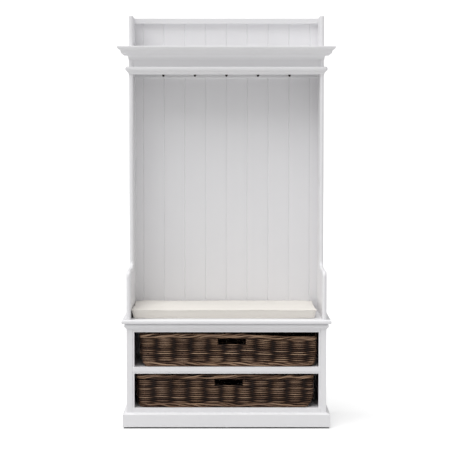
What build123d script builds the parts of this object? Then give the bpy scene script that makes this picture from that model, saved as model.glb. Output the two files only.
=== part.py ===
from build123d import *
import os

# A painted hall stand: a base cabinet with two open bays for basket drawers, a seat board
# with a loose cushion, and a tongue-and-groove upper part with coat hooks under a hat shelf.
# Millimetres. The front faces -Y, +X is to the right of someone facing it, +Z is up, and the
# origin is on the floor under the middle of the whole.

# ---- Driving dimensions: plan ----
board = 20.0  # thickness of the painted boards
half_width = 480.0  # outer face of the cabinet's sides and of the side panels
inner_half = half_width - board
back_y = 250.0
carcass_front_y = -227.0
seat_overhang = 23.0
arm_front_y = -235.0
panel_front_y = 34.0  # front edge of the side panels above the arms
boards_front_y = 228.0
boards_thickness = 12.0
boards_back_y = boards_front_y + boards_thickness

# ---- Driving dimensions: heights ----
glide_height = 7.0
plinth_top = 75.0
bottom_rail_top = 97.5
middle_rail_bottom = 263.0
middle_rail_top = 295.5
top_rail_bottom = 463.5
seat_moulding_bottom = 480.0
seat_bottom = 505.0
seat_top = 525.0
arm_top = 760.0
hook_rail_bottom = 1696.0
nose_bottom = 1707.0
nose_top = 1745.0
cornice_bottom = 1780.0
cornice_top = 1844.0
crest_rail_bottom = 1967.0
crest_rail_top = 1993.0
stand_height = 1994.0

# ---- Boards and rails ----
shelf_thickness = 18.0
thin_back = 8.0
plinth_thickness = 19.0
stile_width = 28.0
bead_width = 9.0  # a beaded strip lines each bay's sides and top
bead_setback = 2.5
face_frame_back_y = carcass_front_y + board
cabinet_back_y = back_y - thin_back
rail_half = half_width - stile_width
eased = 1.5  # small round on the edges that a hand meets
panel_round = 9.5  # the side panels' front edges are almost half round
panel_corner = 30.0
panel_top_round = 4.0
seat_nose_top_round = 9.0
seat_nose_bottom_round = 6.0
frieze_setback = 8.0  # the frieze stands behind the side panels' front edges
frieze_y = panel_front_y + frieze_setback
hat_shelf_bottom = cornice_top - shelf_thickness
batten_height = 80.0
batten_heights = {"lower_batten": 540.0, "upper_batten": 1870.0}

# ---- Tongue-and-groove boards ----
board_pitch = 105.2
full_boards = 8
boards_top = 1985.0
vee = 3.0  # chamfer on each front edge; two of them make the V joint
tongue_depth = 5.0
tongue_thickness = 4.0
tongue_play = 0.4

# ---- Glides and dowels ----
glide_radius = 14.0
glide_inset = 30.0
dowel_radius = 4.0
dowel_play = 0.1
dowel_depth_below = 15.0
dowel_depth_above = 25.0
dowel_x = half_width - board / 2
dowel_rows = (-180.0, 0.0, 200.0)

# ---- Hooks ----
hook_count = 5
hook_pitch = 1.5 * board_pitch
hook_rail_height = 90.0
hook_rail_front_y = boards_front_y - shelf_thickness
hook_rail_middle = hook_rail_bottom + hook_rail_height / 2
plate_width = 24.0
plate_height = 74.0
plate_thickness = 5.0
plate_front_y = hook_rail_front_y - plate_thickness
plate_middle = hook_rail_middle + 6.0
prong_radius = 6.0
prong_bend = 12.0
arm_bend = 30.0
knob_radius = 8.5
screw_spread = 56.0
screw_radius = 2.0
screw_head_radius = 4.2
screw_head_height = 2.4
screw_length = 20.0
screw_play = 0.1

# ---- Cushion ----
cushion_width = 890.0
cushion_depth = 410.0
cushion_thickness = 46.0
cushion_corner = 22.0
cushion_round = 12.0
cushion_middle_x = -12.0
cushion_front_y = -188.0
rest_gap = 0.4  # air between a loose piece and what it rests on

# ---- Baskets ----
basket_width = 860.0
basket_depth = 430.0
basket_height = 160.0
basket_corner = 36.0
basket_front_y = -220.0
basket_middle_y = basket_front_y + basket_depth / 2
roll_height = 24.0
roll_width = 18.0
roll_round = 7.0
weave_thickness = 10.0
weave_inset = 4.0  # the woven wall stands back from the two rolls
basket_base_lift = 6.0
basket_base_thickness = 8.0
slot_width = 140.0
slot_height = 28.0
slot_offset = 18.0
basket_places = {
    "upper_basket": (8.0, middle_rail_top + rest_gap),
    "lower_basket": (-7.0, bottom_rail_top + rest_gap),
}

os.makedirs("parts", exist_ok=True)


def save(piece, name):
    piece.part.label = name
    export_step(piece.part, f"parts/{name}.step")


def plank(name, x, y, z, eased_along=None):
    """A board between the spans x, y and z. eased_along is the axis of its rounded front edges."""
    with BuildPart() as piece:
        with BuildSketch(Plane.XY.offset(z[0])):
            with Locations(((x[0] + x[1]) / 2, (y[0] + y[1]) / 2)):
                Rectangle(x[1] - x[0], y[1] - y[0])
        extrude(amount=z[1] - z[0])
        if eased_along:
            front = piece.faces().sort_by(Axis.Y)[0]
            fillet(front.edges().filter_by(eased_along), eased)
    save(piece, name)


def outline(steps, place):
    """A closed outline through (projection, height, bow) steps. The bow is the sagitta of the arc
    that reaches its step: negative swells out, positive is hollow. place puts a point in the sketch."""
    for (p0, z0, _), (p1, z1, bow) in zip(steps, steps[1:] + steps[:1]):
        if bow:
            run = Vector(p1 - p0, z1 - z0)
            middle_p = (p0 + p1) / 2 - bow * run.Y / run.length
            middle_z = (z0 + z1) / 2 + bow * run.X / run.length
            ThreePointArc(place(p0, z0), place(middle_p, middle_z), place(p1, z1))
        else:
            Line(place(p0, z0), place(p1, z1))


def wrapped_moulding(name, steps, front_y, backing=None):
    """One moulding round the front and both sides, in three lengths mitred at the corners.
    backing is the (depth, bottom, top) of a strip behind the front length, between the panels."""
    reach = max(projection for projection, _, _ in steps)
    mitres = {side: Plane(origin=(side * half_width, front_y, 0), z_dir=(side, 1, 0)) for side in (-1, 1)}
    with BuildPart() as front:
        with BuildSketch(Plane.YZ):
            with BuildLine():
                outline(steps, lambda p, z: (front_y - p, z))
            make_face()
        extrude(amount=half_width + reach, both=True)
        for mitre in mitres.values():
            split(bisect_by=mitre, keep=Keep.BOTTOM)
        if backing:
            depth, bottom, top = backing
            with BuildSketch(Plane.XY.offset(bottom)):
                with Locations((0, front_y + depth / 2)):
                    Rectangle(2 * inner_half, depth)
            extrude(amount=top - bottom)
    save(front, f"{name}_front")
    for side, side_name in ((-1, "left"), (1, "right")):
        with BuildPart() as length:
            with BuildSketch(Plane.XZ.offset(-back_y)):
                with BuildLine():
                    outline(steps, lambda p, z: (side * (half_width + p), z))
                make_face()
            extrude(amount=back_y - front_y + reach)
            split(bisect_by=mitres[side], keep=Keep.TOP)
        save(length, f"{name}_{side_name}")


# ---- Glides, which lift the plinth clear of the floor ----
glide_spots = [
    (-half_width, carcass_front_y),
    (0, carcass_front_y),
    (half_width, carcass_front_y),
    (-half_width, back_y - glide_inset),
    (0, cabinet_back_y - shelf_thickness / 2),
    (half_width, back_y - glide_inset),
]
with BuildPart() as glides:
    with BuildSketch():
        with Locations(*glide_spots):
            Circle(glide_radius)
    extrude(amount=glide_height)
    fillet(glides.faces().group_by(Axis.Z)[0].edges(), eased)
save(glides, "glides")

# ---- Base cabinet: sides, shelves and back ----
across = (-inner_half, inner_half)
behind_frame = (face_frame_back_y, cabinet_back_y)
cabinet_bottom_z = bottom_rail_top - shelf_thickness
for side, side_name in ((-1, "left"), (1, "right")):
    side_x = sorted((side * half_width, side * inner_half))
    plank(f"cabinet_side_{side_name}", side_x, (face_frame_back_y, back_y), (glide_height, seat_bottom))
plank("cabinet_bottom", across, behind_frame, (cabinet_bottom_z, bottom_rail_top))
plank("middle_shelf", across, behind_frame, (middle_rail_top - shelf_thickness, middle_rail_top))
plank("cabinet_back", across, (cabinet_back_y, back_y), (cabinet_bottom_z, seat_bottom))
plank("plinth_back", across, (cabinet_back_y - shelf_thickness, cabinet_back_y), (glide_height, cabinet_bottom_z))

# ---- Face frame ----
frame_y = (carcass_front_y, face_frame_back_y)
between_stiles = (-rail_half, rail_half)
for side, side_name in ((-1, "left"), (1, "right")):
    stile_x = sorted((side * half_width, side * rail_half))
    plank(f"stile_{side_name}", stile_x, frame_y, (glide_height, seat_bottom), Axis.Z)
plank("bottom_rail", between_stiles, frame_y, (glide_height, bottom_rail_top), Axis.X)
plank("middle_rail", between_stiles, frame_y, (middle_rail_bottom + bead_width, middle_rail_top), Axis.X)
plank("top_rail", between_stiles, frame_y, (top_rail_bottom + bead_width, seat_bottom), Axis.X)

bays = ((bottom_rail_top, middle_rail_bottom), (middle_rail_top, top_rail_bottom))
with BuildPart() as opening_beads:
    with BuildSketch(Plane.XZ.offset(-frame_y[0] - bead_setback)):
        for bay_bottom, bay_top in bays:
            with Locations((0, (bay_bottom + bay_top + bead_width) / 2)):
                Rectangle(2 * rail_half, bay_top + bead_width - bay_bottom)
            with Locations((0, (bay_bottom + bay_top) / 2)):
                Rectangle(2 * (rail_half - bead_width), bay_top - bay_bottom, mode=Mode.SUBTRACT)
    extrude(amount=bead_setback - board)
    bead_front = opening_beads.faces().group_by(Axis.Y)[0].edges()
    foot_heights = (bottom_rail_top, middle_rail_top)
    fillet([edge for edge in bead_front if edge.center().Z not in foot_heights], eased)
save(opening_beads, "opening_beads")

# ---- Plinth, with a bevelled top that runs back to the cabinet ----
plinth_outline = [
    (0, glide_height, 0),
    (plinth_thickness - 2, glide_height, 0),
    (plinth_thickness, glide_height + 2, -0.6),
    (plinth_thickness, plinth_top - 9, 0),
    (plinth_thickness - 1.5, plinth_top - 6.8, -0.4),
    (2, plinth_top, 0),
    (0, plinth_top, 0),
]
wrapped_moulding("plinth", plinth_outline, carcass_front_y)

# ---- Seat moulding: a hollow, a rounded band, and a quirk below the seat board ----
seat_moulding_outline = [
    (0, seat_moulding_bottom, 0),
    (3, seat_moulding_bottom, 0),
    (10.5, seat_moulding_bottom + 8, 1.6),
    (10.5, seat_bottom - 9, 0),
    (4, seat_bottom - 3, -2.2),
    (4, seat_bottom, 0),
    (0, seat_bottom, 0),
]
wrapped_moulding("seat_moulding", seat_moulding_outline, carcass_front_y)

# ---- Seat board, nosed on three sides and bored for the dowels ----
seat_front_y = carcass_front_y - seat_overhang
with BuildPart() as seat_board:
    with BuildSketch(Plane.XY.offset(seat_bottom)):
        with Locations((0, (seat_front_y + back_y) / 2)):
            Rectangle(2 * (half_width + seat_overhang), back_y - seat_front_y)
    extrude(amount=seat_top - seat_bottom)
    top_nosing = seat_board.faces().sort_by(Axis.Z)[-1].edges().sort_by(Axis.Y)[:-1]
    fillet(top_nosing, seat_nose_top_round)
    bottom_nosing = seat_board.faces().sort_by(Axis.Z)[0].edges().sort_by(Axis.Y)[:-1]
    fillet(bottom_nosing, seat_nose_bottom_round)
    with Locations(*[(side * dowel_x, y, seat_top) for side in (-1, 1) for y in dowel_rows]):
        Hole(dowel_radius + dowel_play, depth=dowel_depth_below + dowel_play)
save(seat_board, "seat_board")

with BuildPart() as dowels:
    with BuildSketch(Plane.XY.offset(seat_top - dowel_depth_below)):
        with Locations(*[(side * dowel_x, y) for side in (-1, 1) for y in dowel_rows]):
            Circle(dowel_radius)
    extrude(amount=dowel_depth_below + dowel_depth_above)
save(dowels, "dowels")

# ---- Side panels: deep arms at the seat, stepping back to the upper part ----
for side, side_name in ((-1, "left"), (1, "right")):
    with BuildPart() as side_panel:
        with BuildSketch(Plane.YZ.offset(side * inner_half)) as panel_face:
            with BuildLine():
                Polyline(
                    (arm_front_y, seat_top),
                    (arm_front_y, arm_top),
                    (panel_front_y, arm_top),
                    (panel_front_y, stand_height),
                    (back_y, stand_height),
                    (back_y, seat_top),
                    close=True,
                )
            make_face()
            fillet(panel_face.vertices().filter_by_position(Axis.Y, arm_top, arm_top), panel_corner)
        extrude(amount=side * board)
        front_run = side_panel.edges().filter_by(Axis.X, reverse=True)
        front_run = front_run.filter_by_position(Axis.Y, arm_front_y - 1, panel_front_y + 1)
        front_run = front_run.filter_by_position(Axis.Z, seat_top + 1, stand_height - 1)
        fillet(front_run, panel_round)
        fillet(side_panel.faces().sort_by(Axis.Z)[-1].edges().sort_by(Axis.Y)[:-1], panel_top_round)
        with Locations(*[(side * dowel_x, y, seat_top) for y in dowel_rows]):
            Cylinder(dowel_radius + dowel_play, 2 * (dowel_depth_above + dowel_play), mode=Mode.SUBTRACT)
    save(side_panel, f"side_panel_{side_name}")

# ---- Tongue-and-groove back, with a narrow board at each end ----
joint_lines = [(number - full_boards / 2) * board_pitch for number in range(full_boards + 1)]
board_edges = [-inner_half, *joint_lines, inner_half]
boards_middle_y = boards_front_y + boards_thickness / 2
for number, (left, right) in enumerate(zip(board_edges, board_edges[1:]), start=1):
    with BuildPart() as back_board:
        with BuildSketch(Plane.XY.offset(seat_top)) as section:
            with Locations(((left + right) / 2, boards_middle_y)):
                Rectangle(right - left, boards_thickness)
            front_corners = section.vertices().group_by(Axis.Y)[0].sort_by(Axis.X)
            chamfer([corner for corner in front_corners if abs(corner.X) < inner_half], vee)
            if right < inner_half:
                with Locations((right + (tongue_depth - tongue_play) / 2, boards_middle_y)):
                    Rectangle(tongue_depth - tongue_play, tongue_thickness)
            if left > -inner_half:
                with Locations((left + tongue_depth / 2, boards_middle_y)):
                    Rectangle(tongue_depth, tongue_thickness + tongue_play, mode=Mode.SUBTRACT)
        extrude(amount=boards_top - seat_top)
    save(back_board, f"back_board_{number:02d}")

for batten_name, batten_z in batten_heights.items():
    plank(batten_name, across, (boards_back_y, back_y), (batten_z, batten_z + batten_height))
crest_y = (boards_front_y - board, boards_front_y)
plank("crest_rail", across, crest_y, (crest_rail_bottom, crest_rail_top), Axis.X)

# ---- Hat shelf, frieze and the two mouldings that wrap the side panels ----
plank("hat_shelf", across, (panel_front_y, boards_front_y), (hat_shelf_bottom, cornice_top))
plank("frieze", across, (frieze_y, frieze_y + shelf_thickness), (nose_bottom, hat_shelf_bottom))

cornice_outline = [
    (0, cornice_bottom, 0),
    (2, cornice_bottom, 0),
    (2, cornice_bottom + 4, 0),
    (14, cornice_bottom + 24, 3.0),
    (14, cornice_bottom + 29, 0),
    (35, cornice_bottom + 29, 0),
    (37, cornice_bottom + 31, -0.6),
    (42, cornice_bottom + 47, 1.2),
    (55, cornice_top - 6, -3.0),
    (55, cornice_top - 3, 0),
    (52, cornice_top, -0.9),
    (0, cornice_top, 0),
]
wrapped_moulding(
    "cornice", cornice_outline, panel_front_y, (frieze_setback, cornice_bottom, hat_shelf_bottom)
)

nose_outline = [
    (0, nose_bottom, 0),
    (1.5, nose_bottom, 0),
    (9, nose_bottom + 13, 2.0),
    (9, nose_bottom + 15, 0),
    (9, nose_top, -8.5),
    (0, nose_top, 0),
]
wrapped_moulding("nose_moulding", nose_outline, panel_front_y, (frieze_setback, nose_bottom, nose_top))

# ---- Hook rail, hooks and their screws ----
with BuildPart() as hook_rail:
    with BuildSketch(Plane.XZ.offset(-boards_front_y)):
        with Locations((0, hook_rail_middle)):
            Rectangle(2 * inner_half, hook_rail_height)
    extrude(amount=shelf_thickness)
    fillet(hook_rail.faces().sort_by(Axis.Y)[0].edges().filter_by(Axis.X), 2 * eased)
    with BuildSketch(Plane.XZ.offset(-hook_rail_front_y)):
        with Locations((0, plate_middle)):
            with GridLocations(hook_pitch, screw_spread, hook_count, 2):
                Circle(screw_radius + screw_play)
    extrude(amount=plate_thickness - screw_length - screw_play, mode=Mode.SUBTRACT)
save(hook_rail, "hook_rail")

for number in range(hook_count):
    hook_x = (number - (hook_count - 1) / 2) * hook_pitch
    with BuildPart() as hook:
        with BuildSketch(Plane.XZ.offset(-hook_rail_front_y)):
            with Locations((hook_x, plate_middle)):
                SlotOverall(plate_height, plate_width, rotation=90)
                with GridLocations(0, screw_spread, 1, 2):
                    Circle(screw_radius + screw_play, mode=Mode.SUBTRACT)
        extrude(amount=plate_thickness)
        fillet(hook.faces().sort_by(Axis.Y)[0].outer_wire().edges(), eased)
        # The lower prong leaves the plate square, drops, and turns up; the upper arm reaches out and up.
        with BuildLine(Plane.YZ.offset(hook_x)) as lower_path:
            FilletPolyline(
                (plate_front_y + 2, plate_middle - 3),
                (plate_front_y - 13, plate_middle - 3),
                (plate_front_y - 27, hook_rail_bottom + 10),
                (plate_front_y - 48, hook_rail_bottom + 10),
                (plate_front_y - 60, hook_rail_bottom + 36),
                radius=prong_bend,
            )
        with BuildSketch(Plane(origin=lower_path.line @ 0, z_dir=lower_path.line % 0)):
            Circle(prong_radius)
        sweep(path=lower_path.line)
        with BuildLine(Plane.YZ.offset(hook_x)) as upper_path:
            FilletPolyline(
                (plate_front_y + 2, plate_middle + 11),
                (plate_front_y - 40, plate_middle + 15),
                (plate_front_y - 73, plate_middle + 45),
                radius=arm_bend,
            )
        with BuildSketch(Plane(origin=upper_path.line @ 0, z_dir=upper_path.line % 0)):
            Circle(prong_radius)
        sweep(path=upper_path.line)
        with Locations(lower_path.line @ 1, upper_path.line @ 1):
            Sphere(knob_radius)
    save(hook, f"hook_{number + 1}")

with BuildPart() as hook_screws:
    with BuildSketch(Plane.XZ.offset(-plate_front_y)):
        with Locations((0, plate_middle)):
            with GridLocations(hook_pitch, screw_spread, hook_count, 2):
                Circle(screw_head_radius)
    extrude(amount=screw_head_height)
    fillet(hook_screws.faces().group_by(Axis.Y)[0].edges(), screw_head_height - 0.6)
    with BuildSketch(Plane.XZ.offset(-plate_front_y)):
        with Locations((0, plate_middle)):
            with GridLocations(hook_pitch, screw_spread, hook_count, 2):
                Circle(screw_radius)
    extrude(amount=-screw_length)
save(hook_screws, "hook_screws")

# ---- Seat cushion ----
with BuildPart() as seat_cushion:
    with BuildSketch(Plane.XY.offset(seat_top + rest_gap)):
        with Locations((cushion_middle_x, cushion_front_y + cushion_depth / 2)):
            RectangleRounded(cushion_width, cushion_depth, cushion_corner)
    extrude(amount=cushion_thickness)
    fillet(seat_cushion.edges().filter_by(Axis.Z, reverse=True), cushion_round)
save(seat_cushion, "seat_cushion")


def basket_band(name, middle_x, z, inset, thickness, rounding, slot_z=None):
    """A closed band round the basket between the two heights z, with an optional finger slot."""
    width = basket_width - 2 * inset
    depth = basket_depth - 2 * inset
    corner = basket_corner - inset
    with BuildPart() as band:
        with BuildSketch(Plane.XY.offset(z[0])):
            with Locations((middle_x, basket_middle_y)):
                RectangleRounded(width, depth, corner)
                RectangleRounded(
                    width - 2 * thickness, depth - 2 * thickness, corner - thickness, mode=Mode.SUBTRACT
                )
        extrude(amount=z[1] - z[0])
        if rounding:
            fillet(band.edges().filter_by(Axis.Z, reverse=True), rounding)
        if slot_z:
            with BuildSketch(Plane.XZ.offset(-basket_front_y)):
                with Locations((middle_x + slot_offset, slot_z)):
                    Rectangle(slot_width, slot_height)
            extrude(amount=-2 * roll_width, mode=Mode.SUBTRACT)
    save(band, name)


# ---- Basket drawers: foot, base, woven wall with a finger slot, and rim ----
for basket, (middle_x, foot_z) in basket_places.items():
    wall_z = (foot_z + roll_height, foot_z + basket_height - roll_height)
    basket_band(f"{basket}_foot", middle_x, (foot_z, wall_z[0]), 0, roll_width, roll_round)
    basket_band(
        f"{basket}_wall", middle_x, wall_z, weave_inset, weave_thickness, 0, wall_z[1] - slot_height / 2
    )
    basket_band(f"{basket}_rim", middle_x, (wall_z[1], foot_z + basket_height), 0, roll_width, roll_round)
    with BuildPart() as basket_base:
        with BuildSketch(Plane.XY.offset(foot_z + basket_base_lift)):
            with Locations((middle_x, basket_middle_y)):
                RectangleRounded(
                    basket_width - 2 * roll_width, basket_depth - 2 * roll_width, basket_corner - roll_width
                )
        extrude(amount=basket_base_thickness)
    save(basket_base, f"{basket}_base")
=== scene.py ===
import math
import random

import bmesh
import bpy
import numpy as np
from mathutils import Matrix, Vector
from mathutils.bvhtree import BVHTree


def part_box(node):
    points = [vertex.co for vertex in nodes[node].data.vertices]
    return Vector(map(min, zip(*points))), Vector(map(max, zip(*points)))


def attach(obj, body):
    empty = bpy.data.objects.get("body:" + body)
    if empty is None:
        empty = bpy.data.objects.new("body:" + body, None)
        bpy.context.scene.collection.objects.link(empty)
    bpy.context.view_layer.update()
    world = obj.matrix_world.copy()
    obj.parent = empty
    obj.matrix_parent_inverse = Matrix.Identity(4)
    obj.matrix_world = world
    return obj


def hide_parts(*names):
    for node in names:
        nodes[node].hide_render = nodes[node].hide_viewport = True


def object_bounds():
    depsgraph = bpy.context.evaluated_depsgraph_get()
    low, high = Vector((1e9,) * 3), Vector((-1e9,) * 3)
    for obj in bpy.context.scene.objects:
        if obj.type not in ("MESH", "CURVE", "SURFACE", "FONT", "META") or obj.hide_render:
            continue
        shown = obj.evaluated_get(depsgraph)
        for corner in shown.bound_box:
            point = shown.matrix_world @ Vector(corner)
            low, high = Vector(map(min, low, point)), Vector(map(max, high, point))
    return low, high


# A painted hall stand: white boards, two rattan baskets in the base, a boxed seat cushion
# and dark metal coat hooks. Metres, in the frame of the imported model.

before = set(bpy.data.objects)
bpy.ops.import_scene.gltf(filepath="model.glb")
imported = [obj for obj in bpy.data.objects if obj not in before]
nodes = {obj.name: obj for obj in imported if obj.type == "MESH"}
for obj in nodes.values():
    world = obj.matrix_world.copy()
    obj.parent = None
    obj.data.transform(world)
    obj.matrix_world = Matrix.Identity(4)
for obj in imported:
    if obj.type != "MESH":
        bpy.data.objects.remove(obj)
cad_low, cad_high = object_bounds()
scene = bpy.context.scene


# ---- Camera, light and floor ----
def place_camera():
    camera = bpy.data.objects.new("camera", bpy.data.cameras.new("camera"))
    camera.data.lens = 125.51
    camera.data.sensor_width = 36.0
    camera.location = (-0.0072, -7.717, 1.41)
    camera.rotation_euler = (math.radians(90 - 3.289), 0, 0)
    scene.collection.objects.link(camera)
    scene.camera = camera


def soft_daylight(toward, strength, spread):
    """Even light from one side of the sky, as wide as spread degrees."""
    lamp = bpy.data.objects.new("daylight", bpy.data.lights.new("daylight", "SUN"))
    lamp.data.energy = strength
    lamp.data.angle = math.radians(spread)
    lamp.rotation_euler = Vector(toward).to_track_quat("Z", "Y").to_euler()
    scene.collection.objects.link(lamp)


def white_surroundings(room_light, backdrop_light):
    """An even white room that looks a little brighter than it lights."""
    world = bpy.data.worlds.new("white_room")
    scene.world = world
    world.use_nodes = True
    tree = world.node_tree
    tree.nodes.clear()
    seen = tree.nodes.new("ShaderNodeLightPath")
    lighting, backdrop = (tree.nodes.new("ShaderNodeBackground") for _ in range(2))
    lighting.inputs["Strength"].default_value = room_light
    backdrop.inputs["Strength"].default_value = backdrop_light
    lighting.inputs["Color"].default_value = backdrop.inputs["Color"].default_value = (1, 1, 1, 1)
    choice, output = tree.nodes.new("ShaderNodeMixShader"), tree.nodes.new("ShaderNodeOutputWorld")
    tree.links.new(seen.outputs["Is Camera Ray"], choice.inputs[0])
    tree.links.new(lighting.outputs[0], choice.inputs[1])
    tree.links.new(backdrop.outputs[0], choice.inputs[2])
    tree.links.new(choice.outputs[0], output.inputs["Surface"])


scene.view_settings.view_transform = "Standard"
place_camera()
white_surroundings(room_light=0.46, backdrop_light=1.1)
soft_daylight(toward=(-0.30, -0.32, 0.93), strength=2.25, spread=60)


# ---- Node writing ----
class Value:
    """The value of a node's socket. Arithmetic on it adds Math nodes to its finish."""

    def __init__(self, finish, socket):
        self.finish, self.socket = finish, socket

    def math(self, operation, *terms):
        return self.finish.node("ShaderNodeMath", {"operation": operation}, dict(enumerate(terms)))

    def __add__(self, other):
        return self.math("ADD", self, other)

    def __sub__(self, other):
        return self.math("SUBTRACT", self, other)

    def __rsub__(self, other):
        return self.math("SUBTRACT", other, self)

    def __mul__(self, other):
        return self.math("MULTIPLY", self, other)

    __radd__, __rmul__ = __add__, __mul__

    def sine(self):
        return self.math("SINE", self)

    def size(self):
        return self.math("ABSOLUTE", self)

    def is_above(self, limit):
        return self.math("GREATER_THAN", self, limit)

    def or_more(self, other):
        """The larger of the two values."""
        return self.math("MAXIMUM", self, other)


class Finish:
    """One material, with the moves that its look is made from."""

    def __init__(self, name, **constants):
        self.material = bpy.data.materials.new(name)
        self.material.use_nodes = True
        self.tree = self.material.node_tree
        self.shader = self.tree.nodes["Principled BSDF"]
        for socket, value in constants.items():
            self.shader.inputs[socket.replace("_", " ")].default_value = value

    def node(self, kind, settings=(), sockets=(), out=0):
        """A node with its settings, then its sockets' values or links, as the value of one output."""
        made = self.tree.nodes.new(kind)
        for setting, value in dict(settings).items():
            if setting == "stops":
                ramp = made.color_ramp.elements
                while len(ramp) < len(value):
                    ramp.new(0.5)
                for stop, (position, colour) in zip(ramp, value):
                    stop.position, stop.color = position, (*colour, 1)
            else:
                setattr(made, setting, value)
        for socket, value in dict(sockets).items():
            self.join(made.inputs[socket], value)
        return Value(self, made.outputs[out])

    def join(self, socket, value):
        if isinstance(value, Value):
            self.tree.links.new(value.socket, socket)
        else:
            socket.default_value = value

    def places(self):
        return self.node("ShaderNodeTexCoord", out="Object")

    def stretched(self, vector, scales):
        return self.node("ShaderNodeVectorMath", {"operation": "MULTIPLY"}, {0: vector, 1: scales})

    def axes(self, vector):
        return [self.node("ShaderNodeSeparateXYZ", sockets={0: vector}, out=n) for n in range(3)]

    def noise(self, vector, scale=1.0, detail=2.0, roughness=0.5):
        settings = {"Scale": scale, "Detail": detail, "Roughness": roughness}
        return self.node("ShaderNodeTexNoise", sockets={"Vector": vector, **settings})

    def read(self, name, out):
        return self.node("ShaderNodeAttribute", {"attribute_name": name}, out=out)

    def ramp(self, value, stops):
        return self.node("ShaderNodeValToRGB", {"stops": stops}, {0: value})

    def blend(self, share, first, second):
        """The first colour, going over to the second as share goes from 0 to 1."""
        colours = [c if isinstance(c, Value) else (*c, 1) for c in (first, second)]
        sockets = {0: share, 6: colours[0], 7: colours[1]}
        return self.node("ShaderNodeMix", {"data_type": "RGBA", "clamp_factor": True}, sockets, out=2)

    def relief(self, height, depth, strength):
        """A bump that is depth metres high where height is 1."""
        sockets = {"Height": height, "Distance": depth, "Strength": strength}
        return self.node("ShaderNodeBump", sockets=sockets)

    def onto(self, **sockets):
        for socket, value in sockets.items():
            self.join(self.shader.inputs[socket.replace("_", " ")], value)
        return self.material


# ---- Finishes ----
def white_paint(long_axis):
    """Brushed satin paint. The brush marks follow the board's longest side."""
    paint = Finish(f"white_paint_along_{'xyz'[long_axis]}", Coat_Weight=0.12, Coat_Roughness=0.3)
    place = paint.places()
    along = [420.0, 420.0, 420.0]
    along[long_axis] = 9.0
    bristles = paint.noise(paint.stretched(place, along), detail=3, roughness=0.6)
    laps = paint.noise(paint.stretched(place, [s / 12 for s in along]), detail=2)
    skin = paint.noise(place, scale=650, detail=1)
    mottle = paint.noise(place, scale=5.5, detail=3, roughness=0.6)
    warmth = paint.blend(mottle, (0.830, 0.826, 0.842), (0.864, 0.859, 0.872))
    colour = paint.blend(laps * 0.22, warmth, (0.785, 0.780, 0.796))
    texture = bristles * 0.7 + laps * 0.2 + skin * 0.25
    return paint.onto(
        Base_Color=colour,
        Roughness=bristles * 0.16 + mottle * 0.1 + 0.3,
        Normal=paint.relief(texture, 0.00022, 0.35),
    )


def hook_metal():
    """Oil-rubbed dark metal, a little paler where hands rub it."""
    metal = Finish("hook_metal", Specular_IOR_Level=0.5)
    place = metal.places()
    rubbed = metal.noise(place, scale=70, detail=4, roughness=0.65)
    pits = metal.noise(place, scale=900, detail=2)
    colour = metal.ramp(rubbed, [
        (0.3, (0.016, 0.014, 0.013)),
        (0.6, (0.04, 0.033, 0.028)),
        (0.8, (0.09, 0.07, 0.052)),
    ])
    return metal.onto(
        Base_Color=colour,
        Metallic=rubbed * 0.3 + 0.7,
        Roughness=rubbed * -0.25 + 0.56,
        Normal=metal.relief(pits * 0.5 + rubbed * 0.5, 0.0003, 0.5),
    )


def glide_plastic():
    plastic = Finish("glide_plastic")
    grain = plastic.noise(plastic.places(), scale=1100, detail=2)
    return plastic.onto(
        Base_Color=plastic.blend(grain, (0.10, 0.10, 0.105), (0.16, 0.16, 0.165)),
        Roughness=grain * 0.2 + 0.5,
        Normal=plastic.relief(grain, 0.0001, 0.4),
    )


def bare_wood():
    wood = Finish("bare_wood")
    place = wood.places()
    grain = wood.noise(wood.stretched(place, (900, 900, 40)), detail=4, roughness=0.65)
    return wood.onto(
        Base_Color=wood.ramp(grain, [(0.3, (0.36, 0.24, 0.13)), (0.7, (0.62, 0.47, 0.30))]),
        Roughness=grain * 0.2 + 0.6,
        Normal=wood.relief(grain, 0.0002, 0.5),
    )


def cotton():
    """Cream cotton: a plain weave of slubby threads, 0.9 mm from thread to thread."""
    cloth = Finish("cushion_cotton", Sheen_Weight=0.25, Sheen_Roughness=0.5, Specular_IOR_Level=0.25)
    place = cloth.places()
    x, y, z = cloth.axes(place)
    slub = cloth.noise(cloth.stretched(place, (60, 900, 900)), detail=2) + cloth.noise(
        cloth.stretched(place, (900, 60, 60)), detail=2
    )
    wander = cloth.noise(place, scale=45, detail=2) * 1.6
    turns = 2 * math.pi / 0.0018
    warp = (x * turns + wander).sine()
    weft = ((y + z) * turns + wander).sine()
    weave = warp * weft * 0.5 + 0.5
    cloudy = cloth.noise(place, scale=9, detail=3)
    tint = cloth.blend(slub * 0.5, (0.80, 0.765, 0.71), (0.86, 0.835, 0.79))
    colour = cloth.blend(cloudy * 0.35, tint, (0.775, 0.735, 0.68))
    shaded = cloth.blend((1 - weave) * 0.22, colour, (0.62, 0.585, 0.53))
    return cloth.onto(
        Base_Color=shaded,
        Roughness=slub * 0.08 + 0.82,
        Normal=cloth.relief(weave + slub * 0.35, 0.00035, 0.45),
    )


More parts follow.
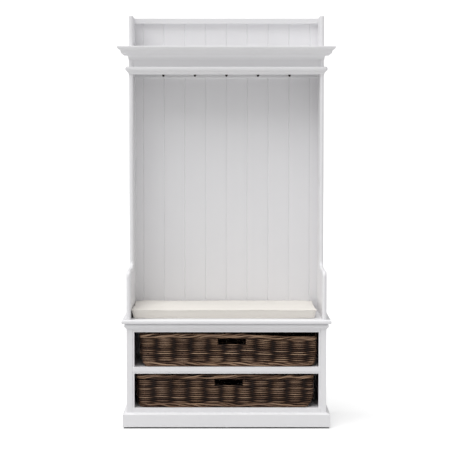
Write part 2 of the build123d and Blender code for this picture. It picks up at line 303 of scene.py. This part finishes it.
def rattan():
    """Smoked rattan rods: each rod has its own tone, with fine streaks along it; the tone also carries
    painted shade and highlight from how far a rod stands out of the wall.
    """
    skin = Finish("rattan", Specular_IOR_Level=0.22)
    tone, grain, place = skin.read("tone", "Fac"), skin.read("grain", "Vector"), skin.places()
    streaks = skin.noise(skin.stretched(grain, (14, 900, 900)), detail=3, roughness=0.6)
    blotches = skin.noise(skin.stretched(grain, (26, 120, 120)), detail=2)
    # the tone read here includes painted shade and highlight, not only the rod's own colour
    depth = tone + streaks * 0.5 + blotches * 0.45 - 0.475
    greyed = skin.ramp(depth, [
        (0.05, (0.016, 0.009, 0.007)),
        (0.35, (0.058, 0.030, 0.020)),
        (0.62, (0.168, 0.100, 0.067)),
        (0.95, (0.400, 0.268, 0.188)),
    ])
    tanned = skin.ramp(depth, [
        (0.05, (0.020, 0.010, 0.006)),
        (0.35, (0.074, 0.037, 0.022)),
        (0.62, (0.194, 0.114, 0.067)),
        (0.95, (0.420, 0.272, 0.168)),
    ])
    patches = skin.noise(place, scale=16, detail=2, roughness=0.6)
    return skin.onto(
        Base_Color=skin.blend(patches * 2.4 - 0.75, greyed, tanned),
        Roughness=streaks * 0.25 + 0.5,
        Normal=skin.relief(streaks * 0.7 + blotches * 0.6, 0.0007, 0.6),
    )


def pale_floor():
    """A white sweep. A glow that only the camera sees keeps it white, and a painted shadow under the stand
    makes it dark there, with the glow turned off.
    """
    floor = Finish("studio_floor", Roughness=0.9, Specular_IOR_Level=0.1, Emission_Strength=1.0)
    place = floor.places()
    x, y, _ = floor.axes(place)
    # the stand's footprint gets a painted shadow: dark floor colour and no glow inside it
    beside = x.size().is_above(cad_high.x - 0.04)
    before = y.size().is_above(-cad_low.y - 0.012)
    outside_painted_shadow = beside.or_more(before)
    seen = floor.node("ShaderNodeLightPath")
    speckle = floor.noise(place, scale=3, detail=2)
    pale = floor.blend(speckle, (0.69, 0.69, 0.69), (0.71, 0.71, 0.71))
    return floor.onto(
        Base_Color=floor.blend(outside_painted_shadow, (0.22, 0.22, 0.22), pale),
        Emission_Color=floor.blend(seen * outside_painted_shadow, (0, 0, 0), (0.42, 0.42, 0.42)),
    )


def lay_floor(half_side):
    mesh = bpy.data.meshes.new("floor")
    corners = [(x * half_side, y * half_side, 0) for x, y in ((-1, -1), (1, -1), (1, 1), (-1, 1))]
    mesh.from_pydata(corners, [], [(0, 1, 2, 3)])
    floor = bpy.data.objects.new("floor", mesh)
    scene.collection.objects.link(floor)
    mesh.materials.append(pale_floor())


lay_floor(30)
paints = [white_paint(axis) for axis in range(3)]
plain_finishes = {"hook_metal": hook_metal(), "glide_plastic": glide_plastic(), "bare_wood": bare_wood()}


def finish_boards():
    """Each rigid node gets its finish: paint brushed along its longest side, or its own material."""
    for name, node in nodes.items():
        low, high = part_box(name)
        sides = list(high - low)
        paint = paints[sides.index(max(sides))]
        for place in node.material_slots:
            place.material = plain_finishes.get(place.material.name.split(".")[0], paint)


finish_boards()


def add_piece(name, mesh, body, finish, replaced=()):
    """A made piece, riding on its body and standing for the nodes it replaces."""
    piece = bpy.data.objects.new(name, mesh)
    scene.collection.objects.link(piece)
    mesh.materials.clear()
    mesh.materials.append(finish)
    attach(piece, body)
    if replaced:
        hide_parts(*replaced)
    return piece


# ---- Round rods and cords ----
class Rods:
    """Round rods gathered into one mesh. Each point keeps its rod's tone and its place on the grain."""

    def __init__(self, seed):
        self.chance = random.Random(seed)
        self.points, self.faces, self.tones, self.grains, self.count = [], [], [], [], 0

    def add(self, line, radius, tone=0.5, closed=False, sides=8, upright=False):
        line = np.asarray(line, float)
        if closed:
            along = np.roll(line, -1, 0) - np.roll(line, 1, 0)
        else:
            along = np.gradient(line, axis=0)
        along /= np.linalg.norm(along, axis=1, keepdims=True)
        across = np.cross(along, (0, 1, 0) if upright else (0, 0, 1))
        across /= np.linalg.norm(across, axis=1, keepdims=True)
        lift = np.cross(across, along)
        turn = np.arange(sides) * 2 * math.pi / sides
        radius = np.broadcast_to(radius, len(line))[:, None, None]
        spoke = np.cos(turn)[None, :, None] * across[:, None] + np.sin(turn)[None, :, None] * lift[:, None]
        self.points.append((line[:, None] + radius * spoke).reshape(-1, 3))
        steps = np.linalg.norm(np.diff(line, axis=0), axis=1)
        travelled = np.concatenate([[0], np.cumsum(steps)]) + self.chance.uniform(0, 50)
        grain = np.zeros((len(line), sides, 3))
        grain[:, :, 0] = travelled[:, None]
        grain[:, :, 1] = radius[:, :, 0] * np.cos(turn) + self.chance.uniform(0, 5)
        grain[:, :, 2] = radius[:, :, 0] * np.sin(turn)
        self.grains.append(grain.reshape(-1, 3))
        self.tones.append(np.repeat(np.broadcast_to(tone, len(line)), sides))
        rings = len(line) if closed else len(line) - 1
        first = (np.arange(rings) * sides)[:, None] + np.arange(sides)
        ahead = (np.arange(rings) * sides)[:, None] + (np.arange(sides) + 1) % sides
        size = len(line) * sides
        quads = np.stack([first, ahead, (ahead + sides) % size, (first + sides) % size], -1).reshape(-1, 4)
        self.faces += (quads[:, ::-1] + self.count).tolist()
        if not closed:
            self.faces.append([self.count + n for n in range(sides)])
            self.faces.append([self.count + size - 1 - n for n in range(sides)])
        self.count += size

    def mesh(self, name):
        made = bpy.data.meshes.new(name)
        made.from_pydata(np.concatenate(self.points).tolist(), [], self.faces)
        tone = made.attributes.new("tone", "FLOAT", "POINT")
        tone.data.foreach_set("value", np.concatenate(self.tones).astype(np.float32))
        grain = made.attributes.new("grain", "FLOAT_VECTOR", "POINT")
        grain.data.foreach_set("vector", np.concatenate(self.grains).astype(np.float32).ravel())
        made.polygons.foreach_set("use_smooth", np.ones(len(made.polygons), bool))
        made.update()
        return made


def drift(chance, share, size, waves=(2, 5, 9)):
    """A slow closed wobble of about size, as share goes once round from 0 to 1."""
    total = 0.0
    for wave in waves:
        total = total + chance.uniform(0.4, 1) * np.sin(2 * math.pi * (wave * share + chance.random()))
    return size * total / len(waves) ** 0.5


# ---- Baskets ----
roll_half_width = 0.009
rod_radius = 0.0024
weave_swing = 0.0056  # how far a rod stands out of the wall as it passes a stake
stake_radius = 0.0036
stake_gap = 0.084
slot_middle = 0.018  # the finger slot is a little right of the basket's middle
slot_depth = 0.028
slot_stake_offset = 0.0735  # from the slot's middle to the stake on each side of it
steps_per_span = 8
roll_turns = 6  # how often a strand winds round its roll on the way round the basket
sag_start, sag_run = 0.06, 0.22  # the rim sinks over this run, right of the basket's middle
tuck_height = 0.065  # below this height the ends draw in towards the foot
front_tuck = 0.007


def painted_shade_and_highlight(out):
    """Painted highlight and shade added to a rod's tone: lighter where it stands out of the wall, darkest
    where it crosses through the wall, and dark where it lies behind a stake.
    """
    return np.interp(out / weave_swing, (-1, -0.3, 0, 0.6, 1), (-0.28, -0.46, -0.5, 0.08, 0.24))


class Ring:
    """The basket's plan: a rounded rectangle along the middle of its wall, by the distance round it."""

    def __init__(self, low, high, corner):
        self.middle = (low + high) / 2
        half_x = (high.x - low.x) / 2 - roll_half_width
        half_y = (high.y - low.y) / 2 - roll_half_width
        radius = corner - roll_half_width
        xs, ys, turns = [0.0], [-half_y], [-90.0]
        for number, (right, back) in enumerate(((1, -1), (1, 1), (-1, 1), (-1, -1))):
            for turn in np.linspace(-90 + 90 * number, 90 * number, 9):
                xs.append(right * (half_x - radius) + radius * math.cos(math.radians(turn)))
                ys.append(back * (half_y - radius) + radius * math.sin(math.radians(turn)))
                turns.append(turn)
        self.xs, self.ys, self.turns = [*xs, 0.0], [*ys, -half_y], [*turns, 270.0]
        steps = np.hypot(np.diff(self.xs), np.diff(self.ys))
        self.marks = np.concatenate([[0], np.cumsum(steps)])
        self.length = self.marks[-1]

    def at(self, distance, out, z):
        """The points at these distances round, out from the wall's middle, at height z."""
        distance = np.mod(distance, self.length)
        turn = np.radians(np.interp(distance, self.marks, self.turns))
        x = np.interp(distance, self.marks, self.xs) + np.cos(turn) * out + self.middle.x
        y = np.interp(distance, self.marks, self.ys) + np.sin(turn) * out + self.middle.y
        return np.stack([x, y, np.broadcast_to(z, np.shape(x))], -1)


class Basket:
    """A woven drawer basket: stakes, over-and-under rods, and rolled rim, foot and base.

    The rim sinks by sag at its right, and tucked says how far the left and right ends draw in at the foot.
    """

    def __init__(self, name, seed, sag, tone, tucked):
        self.name, self.seed, self.sag, self.tone, self.tucked = name, seed, sag, tone, tucked
        low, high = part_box(f"{name}_foot")
        self.foot_z, self.wall_low = low.z, high.z
        rim_low, rim_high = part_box(f"{name}_rim")
        self.wall_high, self.rim_z = rim_low.z, rim_high.z
        self.ring = Ring(low, high, corner=0.036)
        self.low, self.high = low, high
        self.slot_low = self.wall_high - slot_depth
        first = slot_middle + slot_stake_offset
        last = self.ring.length + slot_middle - slot_stake_offset
        spans = 2 * round((last - first) / stake_gap / 2)
        self.stakes = np.append(np.linspace(first, last, spans + 1), self.ring.length + slot_middle)

    def settled(self, points):
        """Rods sink with the rim where it sags, and the lowest ones tuck in towards the foot."""
        share = (points[:, 2] - self.foot_z) / (self.rim_z - self.foot_z)
        right = np.clip((points[:, 0] - self.ring.middle.x - sag_start) / sag_run, 0, 1)
        points[:, 2] -= self.sag * share * right * right * (3 - 2 * right)
        half = (self.high - self.low) / 2
        across = (points[:, 0] - self.ring.middle.x) / half.x
        deep = (points[:, 1] - self.ring.middle.y) / half.y
        low_down = np.clip(1 - (points[:, 2] - self.foot_z) / tuck_height, 0, 1) ** 1.9
        ends = np.interp(across, (-1, 1), self.tucked)
        points[:, 0] -= ends * low_down * across**5
        points[:, 1] -= front_tuck * low_down * deep**3
        return points

    def rods(self):
        return Rods(self.seed)

    def finish(self, rods, part, *replaced):
        for points in rods.points:
            self.settled(points)
        mesh = rods.mesh(f"{self.name}_{part}")
        names = [f"{self.name}_{node}" for node in replaced]
        add_piece(f"{self.name}_{part}", mesh, self.name, rattan_skin, names)

    def full_row(self, rods, number, z):
        """One rod all the way round, in front of every second stake."""
        chance = rods.chance
        marks = np.append(self.stakes, self.stakes[0] + self.ring.length)
        count = len(self.stakes) * steps_per_span
        place = np.arange(count) / steps_per_span
        distance = np.interp(place, np.arange(len(marks)), marks)
        share = place / len(self.stakes)
        swing = weave_swing + drift(chance, share, 0.0004)
        out = (-1) ** number * swing * np.cos(math.pi * place)
        height = z + drift(chance, share, 0.00045, (3, 7, 16))
        tone = chance.gauss(self.tone, 0.12) + drift(chance, share, 0.15, (2, 6, 13))
        # painted highlight where the rod stands out, painted shade where it sinks into the wall
        tone += painted_shade_and_highlight(out)
        radius = rod_radius * (1 + drift(chance, share, 0.05, (4, 11)))
        rods.add(self.ring.at(distance, out, height), radius, tone, closed=True)

    def slot_rows(self, rods, number, z, next_z):
        """Two rows that stop at the finger slot: one rod that turns back round the stake at each side."""
        chance = rods.chance
        spans = len(self.stakes) - 2
        place = np.arange(spans * steps_per_span + 1) / steps_per_span
        distance = np.interp(place, np.arange(spans + 1), self.stakes[:-1])
        out = (-1) ** number * weave_swing * np.cos(math.pi * place)
        half_turn = np.radians(np.arange(30, 180, 30))
        side = (-1) ** number
        round_stake, over = np.sin(half_turn) * weave_swing, np.cos(half_turn) * weave_swing * side
        climb = z + (next_z - z) * np.arange(1, 6) / 6
        distances = [distance, self.stakes[-2] + round_stake, distance[::-1], self.stakes[0] - round_stake]
        outs = [out, over, -out[::-1], -over]
        sway = drift(chance, place / spans, 0.0004, (3, 7))
        heights = [z + sway, climb, next_z - sway[::-1], climb[::-1]]
        line = self.ring.at(*(np.concatenate(part) for part in (distances, outs, heights)))
        share = np.arange(len(line)) / len(line)
        tone = chance.gauss(self.tone, 0.12) + drift(chance, share, 0.15, (4, 12, 26))
        # painted highlight where the rod stands out, painted shade where it sinks into the wall
        tone += painted_shade_and_highlight(np.concatenate(outs))
        rods.add(line, rod_radius, tone, closed=True)

    def weave(self):
        rods = self.rods()
        full_rows, slot_rows = 16, 6
        pitch = (self.slot_low - self.wall_low) / full_rows
        for number in range(full_rows):
            self.full_row(rods, number, self.wall_low + (number + 0.5) * pitch)
        pitch = (self.wall_high - self.slot_low) / slot_rows
        for number in range(0, slot_rows, 2):
            z = self.slot_low + (number + 0.5) * pitch
            self.slot_rows(rods, number, z, z + pitch)
        self.finish(rods, "weave", "wall")

    def stand_stakes(self):
        rods = self.rods()
        foot, rim = (self.foot_z + self.wall_low) / 2, (self.wall_high + self.rim_z) / 2
        for number, distance in enumerate(self.stakes):
            top = self.slot_low - rod_radius if number == len(self.stakes) - 1 else rim
            z = np.linspace(foot, top, 7)
            lean = rods.chance.uniform(-0.0012, 0.0012)
            line = self.ring.at(distance + lean * (z - foot) / (rim - foot), np.zeros(7), z)
            rods.add(line, stake_radius, rods.chance.gauss(self.tone - 0.24, 0.06), upright=True)
        self.finish(rods, "stakes")

    def roll(self, part, replaced, bottom, top, turn):
        """A rolled border: five long strands laid round each other."""
        rods = self.rods()
        rods.chance.seed(self.seed * 7 + turn)
        strands, strand_radius = 5, 0.0035
        count = 280
        share = np.arange(count) / count
        tall, wide = (top - bottom) / 2 - strand_radius, roll_half_width - strand_radius
        for strand in range(strands):
            wobble = drift(rods.chance, share, 0.62, (5, 11, 23))
            angle = turn * 2 * math.pi * roll_turns * share + 2 * math.pi * strand / strands + wobble
            z = (bottom + top) / 2 + tall * np.sin(angle)
            out = wide * np.cos(angle)
            tone = rods.chance.gauss(self.tone, 0.10) + drift(rods.chance, share, 0.13, (5, 9, 21))
            # painted highlight on each strand's outward side, painted shade on its inward side
            tone += 0.34 * np.cos(angle) - 0.04
            radius = strand_radius * (1 + drift(rods.chance, share, 0.06, (6, 13)))
            rods.add(self.ring.at(share * self.ring.length, out, z), radius, tone, closed=True)
        self.finish(rods, part, replaced)

    def woven_base(self):
        """Sticks from front to back, with thinner rods woven across them."""
        rods = self.rods()
        inset = roll_half_width
        left, right = self.low.x + inset, self.high.x - inset
        front, back = self.low.y + inset, self.high.y - inset
        base_low, base_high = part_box(f"{self.name}_base")
        z = (base_low.z + base_high.z) / 2
        stick_radius, cane_radius, swing, pitch = 0.0022, 0.0026, 0.0024, 0.0056
        gaps = round((right - left) / 0.062)
        marks = np.linspace(left, right, gaps + 1)
        for x in marks[1:-1]:
            line = [(x + rods.chance.uniform(-0.001, 0.001), y, z) for y in np.linspace(front, back, 9)]
            rods.add(line, stick_radius, rods.chance.gauss(self.tone, 0.08), sides=6)
        rows = round((back - front) / pitch)
        for number in range(1, rows):
            place = np.arange(gaps * 6 + 1) / 6
            x = np.interp(place, np.arange(gaps + 1), marks)
            y = front + number * (back - front) / rows + drift(rods.chance, place / gaps, 0.0005, (2, 5))
            lift = (-1) ** number * swing * np.cos(math.pi * place)
            tone = rods.chance.gauss(self.tone, 0.1) + drift(rods.chance, place / gaps, 0.1, (2, 5))
            rods.add(np.stack([x, y, z + lift], -1), cane_radius, tone, sides=6)
        self.finish(rods, "woven_base", "base")

    def make(self):
        self.weave()
        self.stand_stakes()
        self.roll("rim_roll", "rim", self.wall_high, self.rim_z, 1)
        self.roll("foot_roll", "foot", self.foot_z, self.wall_low, -1)
        self.woven_base()


rattan_skin = rattan()
Basket("upper_basket", seed=11, sag=0.013, tone=0.49, tucked=(0.027, 0.020)).make()
Basket("lower_basket", seed=23, sag=0.001, tone=0.445, tucked=(0.018, 0.030)).make()


# ---- Seat cushion ----
piping_radius = 0.0026
seam_grip = 0.006  # the cloth is held this far from each seam
swelling_frames = 20
end_steepness, back_steepness, front_steepness = 20, 14, 6  # how late the crown falls away to each edge
cushion_low, cushion_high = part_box("seat_cushion")


def cushion_outline(inset, bow, corner, count=150):
    """The cushion's plan, inset from its full size, with each side pulled in by bow at its middle."""
    middle = (cushion_low + cushion_high) / 2
    half_x = (cushion_high.x - cushion_low.x) / 2 - inset
    half_y = (cushion_high.y - cushion_low.y) / 2 - inset
    points = []
    for right, back, start in ((1, -1, -90), (1, 1, 0), (-1, 1, 90), (-1, -1, 180)):
        centre_x, centre_y = right * (half_x - corner), back * (half_y - corner)
        for turn in np.radians(np.linspace(start, start + 90, 7)):
            points.append((centre_x + corner * math.cos(turn), centre_y + corner * math.sin(turn)))
        end = points[-1]
        after = {(1, -1): (half_x, half_y - corner), (1, 1): (corner - half_x, half_y),
                 (-1, 1): (-half_x, corner - half_y), (-1, -1): (half_x - corner, -half_y)}[(right, back)]
        for share in np.arange(1, count) / count:
            points.append((end[0] + (after[0] - end[0]) * share, end[1] + (after[1] - end[1]) * share))
    points = np.array(points)
    across, deep = points[:, 0] / half_x, points[:, 1] / half_y
    pull_x = bow * (1 - deep**2) * np.sign(across) * np.abs(across) ** 8
    pull_y = bow * (1 - across**2) * np.sign(deep) * np.abs(deep) ** 8
    return np.stack([points[:, 0] - pull_x + middle.x, points[:, 1] - pull_y + middle.y], -1)


def cushion_blank(tucked, outline, low, high):
    """A closed slab between the bottom seam, which is tucked in a little, and the top seam."""
    made = bmesh.new()
    rings = [[made.verts.new((x, y, z)) for x, y in ring] for ring, z in ((tucked, low), (outline, high))]
    count = len(outline)
    for n in range(count):
        m = (n + 1) % count
        made.faces.new((rings[0][n], rings[0][m], rings[1][m], rings[1][n]))
    made.faces.new(rings[1])
    made.faces.new(rings[0][::-1])
    mesh = bpy.data.meshes.new("seat_cushion_cover")
    made.to_mesh(mesh)
    made.free()
    return mesh


def apply_modifiers(piece):
    shaped = bpy.data.meshes.new_from_object(piece.evaluated_get(bpy.context.evaluated_depsgraph_get()))
    piece.modifiers.clear()
    piece.data = shaped


def positions(mesh):
    found = np.zeros(len(mesh.vertices) * 3, np.float32)
    mesh.vertices.foreach_get("co", found)
    return found.reshape(-1, 3).astype(float)


def crowned(points, low, high, rise):
    """The points of the slab with its top raised in a low crown that falls away to the seam."""
    middle, half = (cushion_low + cushion_high) / 2, (cushion_high - cushion_low) / 2
    across = np.clip(np.abs(points[:, 0] - middle.x) / half.x, 0, 1)
    deep = np.clip((points[:, 1] - middle.y) / half.y, -1, 1)
    falling = np.where(deep > 0, deep**back_steepness, deep**front_steepness)
    upper = np.clip((points[:, 2] - low) / (high - low), 0, 1)
    points[:, 2] += rise * upper * (1 - across**end_steepness) * (1 - falling)
    return points


def puff(piece, seams, most):
    """Fills the cover by cloth pressure, its two seams held, and never moves a point further than most."""
    start = positions(piece.data)
    near_seam = np.zeros(len(start), bool)
    for outline, z in seams:
        to_seam = np.sqrt(((start[:, None, :2] - outline[None]) ** 2).sum(-1)).min(1)
        near_seam |= np.hypot(to_seam, start[:, 2] - z) < seam_grip
    held = piece.vertex_groups.new(name="seams")
    held.add(np.flatnonzero(near_seam).tolist(), 1.0, "REPLACE")
    cloth = piece.modifiers.new("cloth", "CLOTH")
    settings = cloth.settings
    settings.quality = 5
    settings.mass = 0.35
    settings.tension_stiffness = settings.compression_stiffness = 12
    settings.shear_stiffness = 4
    settings.bending_stiffness = 0.4
    settings.use_pressure = True
    settings.uniform_pressure_force = 4.0
    settings.effector_weights.gravity = 0
    settings.vertex_group_mass = "seams"
    cloth.collision_settings.use_collision = False
    cloth.point_cache.frame_start, cloth.point_cache.frame_end = 1, swelling_frames
    for number in range(1, swelling_frames + 1):
        scene.frame_set(number)
    apply_modifiers(piece)
    scene.frame_set(1)
    piece.vertex_groups.clear()
    move = positions(piece.data) - start
    length = np.linalg.norm(move, axis=1, keepdims=True)
    move *= most * np.tanh(length / most) / np.maximum(length, 1e-9)
    return start + move


def make_cushion():
    """The swollen cover, with the outline and height of the piping on its top and bottom seams."""
    outline = cushion_outline(inset=-0.004, bow=0.006, corner=0.018)
    tucked = cushion_outline(inset=0.007, bow=0.006, corner=0.016)
    low, high = cushion_low.z, cushion_high.z - 0.005
    cover = bpy.data.objects.new("cushion_cover", cushion_blank(tucked, outline, low, high))
    scene.collection.objects.link(cover)
    grid = cover.modifiers.new("even_steps", "REMESH")
    grid.mode, grid.voxel_size = "VOXEL", 0.0065
    apply_modifiers(cover)
    shape = crowned(positions(cover.data), low, high, rise=0.0075)
    cover.data.vertices.foreach_set("co", shape.astype(np.float32).ravel())
    shape = puff(cover, ((outline, high), (tucked, low)), most=0.009)
    dents = random.Random(5)
    waves = [(dents.uniform(9, 26), dents.uniform(-22, 22), dents.uniform(0, 6), 0.0004) for _ in range(7)]
    lying = np.clip((shape[:, 2] - low) / 0.01, 0, 1)
    for across, deep, phase, size in waves:
        shape[:, 2] += lying * size * np.sin(across * shape[:, 0] + deep * shape[:, 1] + phase)
    shape[:, 0] = np.clip(shape[:, 0], cushion_low.x - 0.008, cushion_high.x + 0.012)
    shape[:, 1] = np.clip(shape[:, 1], cushion_low.y - 0.008, cushion_high.y + 0.004)
    shape[:, 2] = np.maximum(shape[:, 2], low)
    cover.data.vertices.foreach_set("co", shape.astype(np.float32).ravel())
    finer = cover.modifiers.new("finer", "SUBSURF")
    finer.levels = finer.render_levels = 1
    apply_modifiers(cover)
    mesh = cover.data
    mesh.polygons.foreach_set("use_smooth", np.ones(len(mesh.polygons), bool))
    bpy.data.objects.remove(cover)
    cushion = add_piece("cushion_cover", mesh, "cushion", cotton_cloth, ["seat_cushion"])
    return cushion, ((outline, high), (tucked, low + piping_radius))


def pipe_seams(cushion, seams):
    """A thin cord of the same cotton, laid on the cover's top and bottom seams."""
    surface = BVHTree.FromPolygons(
        [v.co for v in cushion.data.vertices], [p.vertices for p in cushion.data.polygons]
    )
    cords = Rods(3)
    for outline, z in seams:
        line = []
        for x, y in outline:
            nearest = surface.find_nearest(Vector((x, y, z)))[0]
            line.append((nearest.x, nearest.y, max(nearest.z, cushion_low.z + piping_radius)))
        line = np.array(line)
        for _ in range(2):
            line = (np.roll(line, 1, 0) + 2 * line + np.roll(line, -1, 0)) / 4
        cords.add(line, piping_radius, closed=True)
    add_piece("cushion_piping", cords.mesh("cushion_piping"), "cushion", cotton_cloth)


cotton_cloth = cotton()
pipe_seams(*make_cushion())
